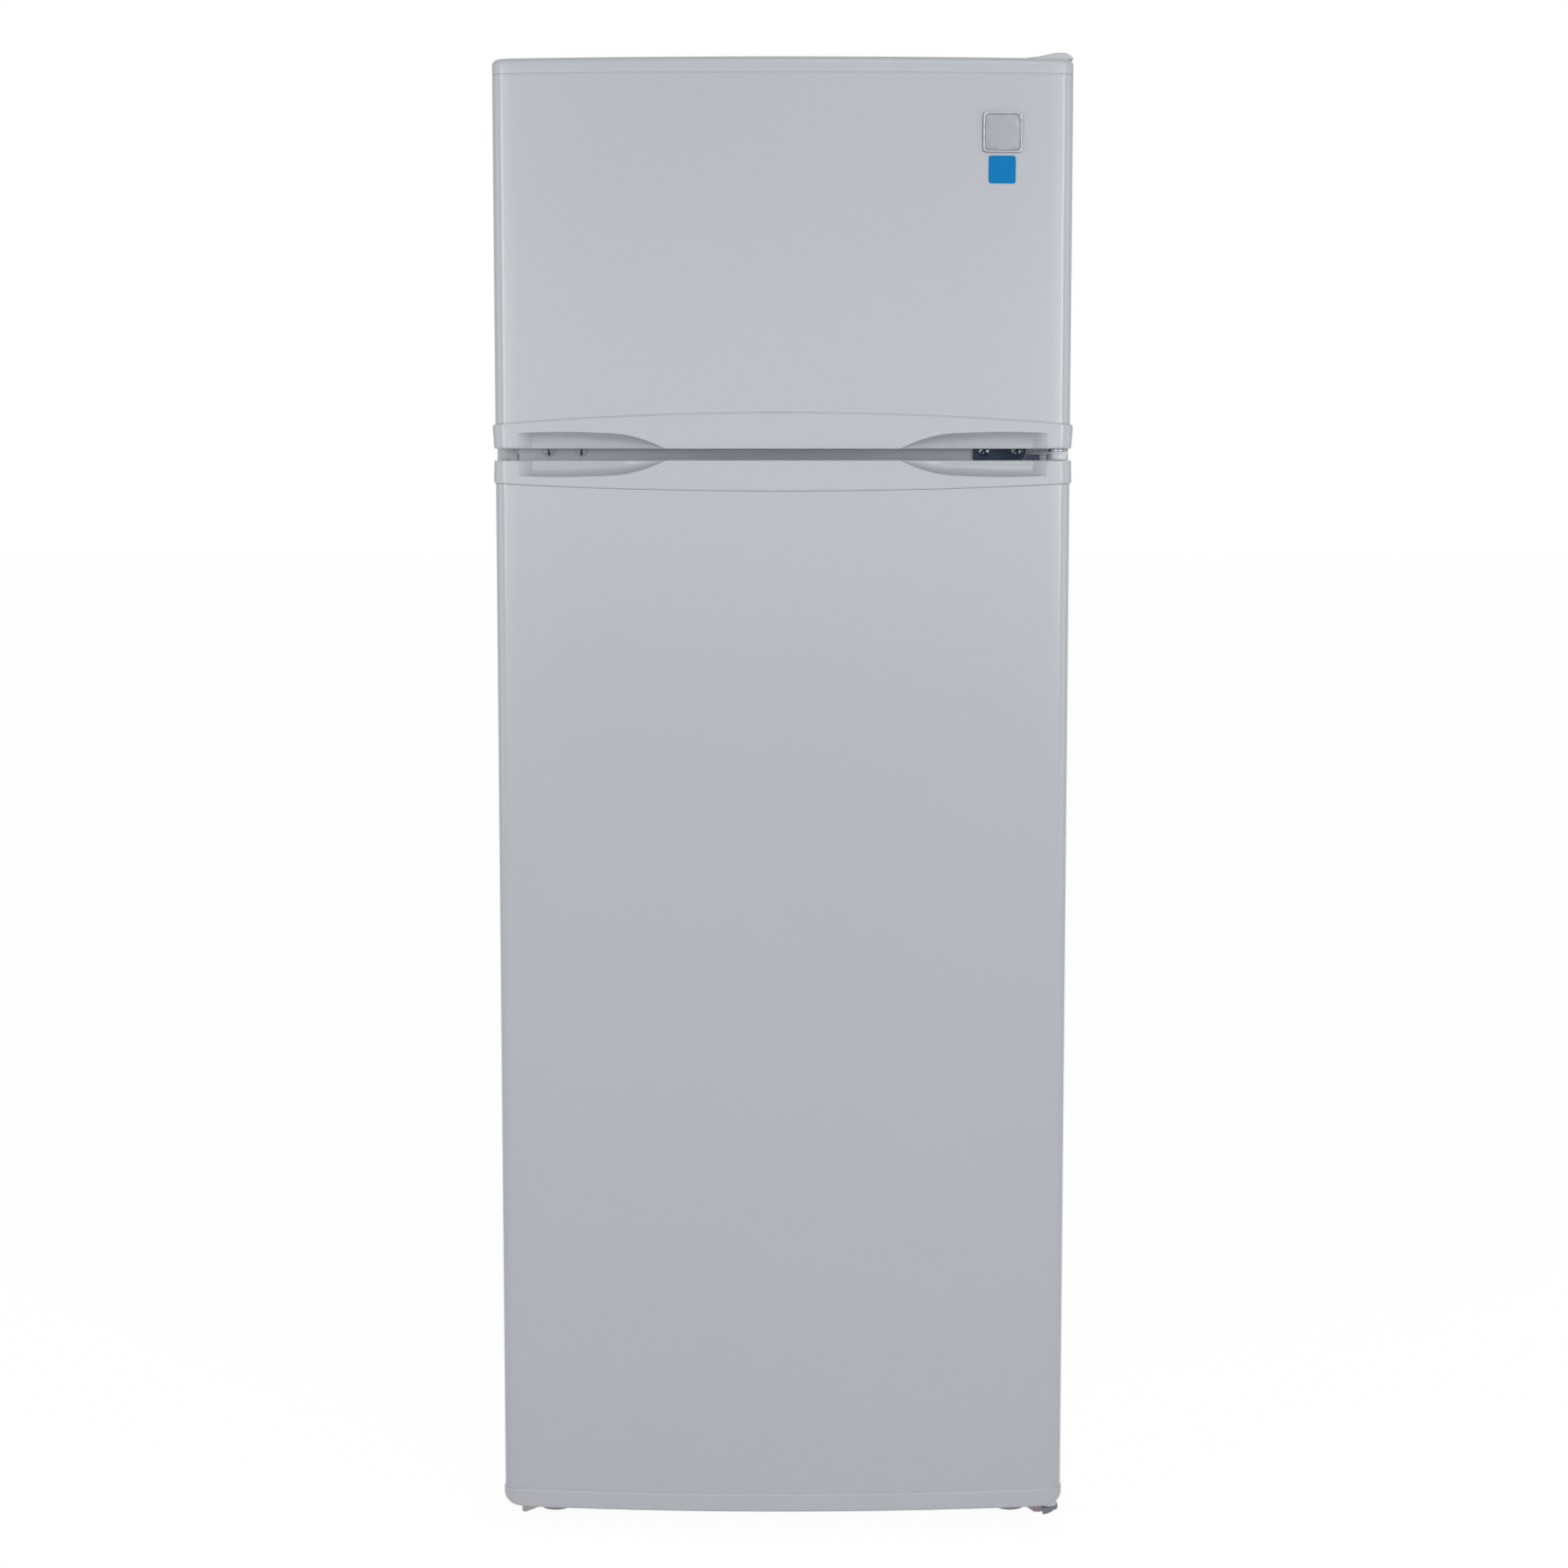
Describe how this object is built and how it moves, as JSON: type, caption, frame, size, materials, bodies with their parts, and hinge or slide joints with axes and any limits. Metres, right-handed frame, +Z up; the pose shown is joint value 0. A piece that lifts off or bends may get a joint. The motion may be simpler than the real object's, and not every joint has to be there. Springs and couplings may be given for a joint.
{
  "type": "top freezer refrigerator",
  "caption": "Free-standing two-door refrigerator with the freezer on top, bowed doors hung on the right, scooped hand grips and a wire condenser behind.",
  "frame": {"origin": "middle of the footprint, on the floor", "axes": "+Z up, -Y out of the doors, +X towards the hinged side"},
  "size_m": [0.552, 0.56, 1.434],
  "materials": {
    "door_paint": "satin",
    "cabinet_paint": "satin",
    "cap_plastic": "satin",
    "trim_plastic": "satin",
    "liner_plastic": "gloss",
    "foam": "matt",
    "gasket_rubber": "matt",
    "hinge_steel": "satin",
    "zinc_steel": "satin",
    "bright_steel": "polished",
    "clear_plastic": "gloss",
    "shelf_glass": "polished",
    "lamp_glass": "polished",
    "white_wire": "gloss",
    "black_metal": "satin",
    "copper": "satin",
    "evaporator_metal": "satin",
    "black_plastic": "matt",
    "black_rubber": "matt",
    "foot_plastic": "satin"
  },
  "bodies": {
    "cabinet": {"back_panel": "zinc_steel", "base_pan": "zinc_steel", "bottom_hinge_bracket": "hinge_steel", "cabinet_shell": "cabinet_paint", "compressor": "black_metal", "compressor_grommets": "black_rubber", "condenser_coil": "black_metal", "condenser_spacers": "black_plastic", "control_housing": "trim_plastic", "cord_gland": "black_plastic", "crisper_cover": "shelf_glass", "drip_tray": "black_plastic", "evaporator_plate": "evaporator_metal", "filter_dryer": "copper", "freezer_liner": "liner_plastic", "freezer_wire_shelf": "white_wire", "fresh_food_liner": "liner_plastic", "front_corner_blocks": "foot_plastic", "hinge_hole_plugs": "trim_plastic", "hinge_screws": "hinge_steel", "hinge_spacers": "trim_plastic", "insulation_foam": "foam", "lamp_bulb": "lamp_glass", "lamp_lens": "clear_plastic", "left_foot_bracket": "hinge_steel", "lower_glass_shelf": "shelf_glass", "middle_hinge_bracket": "hinge_steel", "middle_hinge_washer": "bright_steel", "mullion_rail": "cabinet_paint", "rear_roller_brackets": "zinc_steel", "refrigerant_tubes": "copper", "shelf_trims": "trim_plastic", "top_hinge_bracket": "hinge_steel", "top_hinge_cover": "cap_plastic", "upper_glass_shelf": "shelf_glass"},
    "freezer_door": {"freezer_door_skin": "door_paint", "freezer_door_top_cap": "cap_plastic", "freezer_door_bottom_cap": "cap_plastic", "freezer_door_liner": "liner_plastic", "freezer_door_foam": "foam", "freezer_door_gasket": "gasket_rubber", "badge_plate": "bright_steel"},
    "fresh_door": {"fresh_door_skin": "door_paint", "fresh_door_top_cap": "cap_plastic", "fresh_door_bottom_cap": "cap_plastic", "fresh_door_liner": "liner_plastic", "fresh_door_foam": "foam", "fresh_door_gasket": "gasket_rubber"},
    "freezer_lower_bin_body": {"freezer_lower_bin": "clear_plastic"},
    "freezer_upper_bin_body": {"freezer_upper_bin": "clear_plastic"},
    "bottle_bin_body": {"bottle_bin": "clear_plastic"},
    "middle_door_bin_body": {"middle_door_bin": "clear_plastic"},
    "upper_door_bin_body": {"upper_door_bin": "clear_plastic"},
    "crisper_drawer_body": {"crisper_drawer": "clear_plastic"},
    "thermostat_dial_body": {"thermostat_dial": "trim_plastic"},
    "door_switch_plunger_body": {"door_switch_plunger": "trim_plastic"},
    "left_levelling_foot_body": {"left_levelling_foot": "foot_plastic"},
    "right_levelling_foot_body": {"right_levelling_foot": "foot_plastic"},
    "left_rear_roller_body": {"left_rear_roller": "black_plastic"},
    "right_rear_roller_body": {"right_rear_roller": "black_plastic"}
  },
  "joints": [
    {"name": "freezer_door_hinge", "type": "hinge", "parent": "cabinet", "child": "freezer_door", "pos_m": [0.263, -0.233, 1.0635], "axis": [0, 0, 1], "range_deg": [0, 130]},
    {"name": "fresh_door_hinge", "type": "hinge", "parent": "cabinet", "child": "fresh_door", "pos_m": [0.263, -0.233, 0.0325], "axis": [0, 0, 1], "range_deg": [0, 130]},
    {"name": "freezer_lower_bin_lift", "type": "slide", "parent": "freezer_door", "child": "freezer_lower_bin_body", "axis": [0, 0, 1], "range_m": [0, 0.026]},
    {"name": "freezer_upper_bin_lift", "type": "slide", "parent": "freezer_door", "child": "freezer_upper_bin_body", "axis": [0, 0, 1], "range_m": [0, 0.026]},
    {"name": "bottle_bin_lift", "type": "slide", "parent": "fresh_door", "child": "bottle_bin_body", "axis": [0, 0, 1], "range_m": [0, 0.026]},
    {"name": "middle_door_bin_lift", "type": "slide", "parent": "fresh_door", "child": "middle_door_bin_body", "axis": [0, 0, 1], "range_m": [0, 0.026]},
    {"name": "upper_door_bin_lift", "type": "slide", "parent": "fresh_door", "child": "upper_door_bin_body", "axis": [0, 0, 1], "range_m": [0, 0.026]},
    {"name": "crisper_drawer_slide", "type": "slide", "parent": "cabinet", "child": "crisper_drawer_body", "axis": [0, -1, 0], "range_m": [0, 0.142]},
    {"name": "door_switch_stroke", "type": "slide", "parent": "cabinet", "child": "door_switch_plunger_body", "axis": [0, -1, 0], "range_m": [0, 0.006]},
    {"name": "thermostat_turn", "type": "hinge", "parent": "cabinet", "child": "thermostat_dial_body", "pos_m": [0.0525, -0.155, 1.00264], "axis": [0, -1, 0], "range_deg": [0, 270]},
    {"name": "left_foot_turn", "type": "hinge", "parent": "cabinet", "child": "left_levelling_foot_body", "pos_m": [-0.229, -0.1642, 0], "axis": [0, 0, 1], "continuous": true},
    {"name": "right_foot_turn", "type": "hinge", "parent": "cabinet", "child": "right_levelling_foot_body", "pos_m": [0.229, -0.1642, 0], "axis": [0, 0, 1], "continuous": true},
    {"name": "left_roller_spin", "type": "hinge", "parent": "cabinet", "child": "left_rear_roller_body", "pos_m": [-0.2325, 0.229, 0.015], "axis": [1, 0, 0], "continuous": true},
    {"name": "right_roller_spin", "type": "hinge", "parent": "cabinet", "child": "right_rear_roller_body", "pos_m": [0.2325, 0.229, 0.015], "axis": [1, 0, 0], "continuous": true}
  ],
  "couplings": [
    {"joint": "crisper_drawer_slide", "follows": "fresh_door_hinge", "m_per_rad": 0.0616},
    {"joint": "door_switch_stroke", "follows": "fresh_door_hinge", "m_per_rad": 0.0026}
  ]
}
